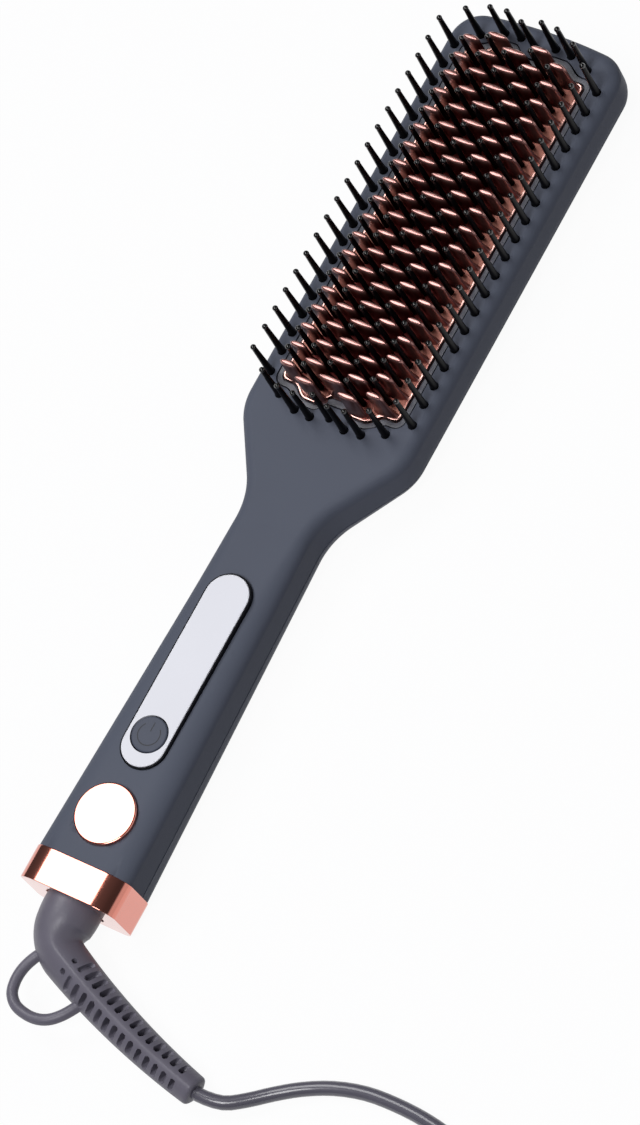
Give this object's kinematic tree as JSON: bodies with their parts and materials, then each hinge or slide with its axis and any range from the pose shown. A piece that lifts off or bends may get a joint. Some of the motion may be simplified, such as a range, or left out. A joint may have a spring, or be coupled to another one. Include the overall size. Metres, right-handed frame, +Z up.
{
  "type": "heated straightening brush",
  "caption": "Heated hair-straightening brush: flat paddle head with metal comb fins and heat-proof bristles, slim handle with a power button, swivel cord with hanging loop.",
  "frame": {"origin": "under the middle of the brush without its cord, on the plane of the flat back that it lies on", "axes": "+X along the brush towards the bristled head, +Y across it to the left of a user who looks from the tail along the handle at the bristle side, +Z up out of the bristle face"},
  "size_m": [0.3745, 0.2288, 0.0338],
  "materials": {
    "housing_front": "satin metallic grey paint",
    "housing_back": "satin metallic grey paint",
    "bezel": "satin",
    "heater_metal": "rose-bronze anodised, satin",
    "bristle": "glossy heat-resistant nylon",
    "ceramic": "matt ceramic",
    "electrode": "plain",
    "mica": "matt mineral sheet",
    "clamp_metal": "plain",
    "steel": "zinc plated",
    "sensor": "resin",
    "fuse": "plain",
    "lead": "silicone insulation",
    "board": "solder-masked laminate",
    "parts": "moulded",
    "switch": "moulded",
    "plunger": "moulded",
    "button": "satin",
    "strip_black": "glossy",
    "strip_silver": "silver-white, satin",
    "badge": "rose-gold mirror plating",
    "collar": "rose-gold mirror plating",
    "socket": "plain",
    "barrel": "moulded",
    "contact": "plain",
    "relief": "matt flexible vinyl",
    "cord": "matt vinyl",
    "plug": "matt vinyl",
    "blades": "nickel-plated"
  },
  "bodies": {
    "brush": {"front_housing": "housing_front", "back_housing": "housing_back", "heater_bezel": "bezel", "heater_plate": "heater_metal", "inner_bristles": "bristle", "outer_bristles": "bristle", "ptc_heaters": "ceramic", "electrode_strips": "electrode", "mica_sheet": "mica", "clamp_plate": "clamp_metal", "clamp_screws": "steel", "thermistor": "sensor", "thermal_fuse": "fuse", "heater_leads": "lead", "main_board": "board", "board_parts": "parts", "board_screws": "steel", "tact_switch": "switch", "strip_base": "strip_black", "strip_plate": "strip_silver", "badge": "badge", "tail_collar": "collar", "swivel_socket": "socket", "contact_springs": "contact"},
    "button": {"power_button": "button", "switch_plunger": "plunger"},
    "cord_swivel": {"swivel_barrel": "barrel", "retaining_clip": "steel", "slip_rings": "contact", "strain_relief": "relief", "hanging_loop": "relief", "cord_lead": "cord", "cord_coil": "cord", "cord_tail": "cord", "plug_body": "plug", "plug_blades": "blades"}
  },
  "joints": [
    {"name": "power_button", "type": "slide", "parent": "brush", "child": "button", "axis": [0, 0, -1], "range_m": [0, 0.0005], "stiffness_N_per_m": 3000, "springref_m": -0.0003},
    {"name": "cord_swivel", "type": "hinge", "parent": "brush", "child": "cord_swivel", "pos_m": [-0.1395, 0, 0.00965], "axis": [-1, 0, 0], "continuous": true}
  ]
}
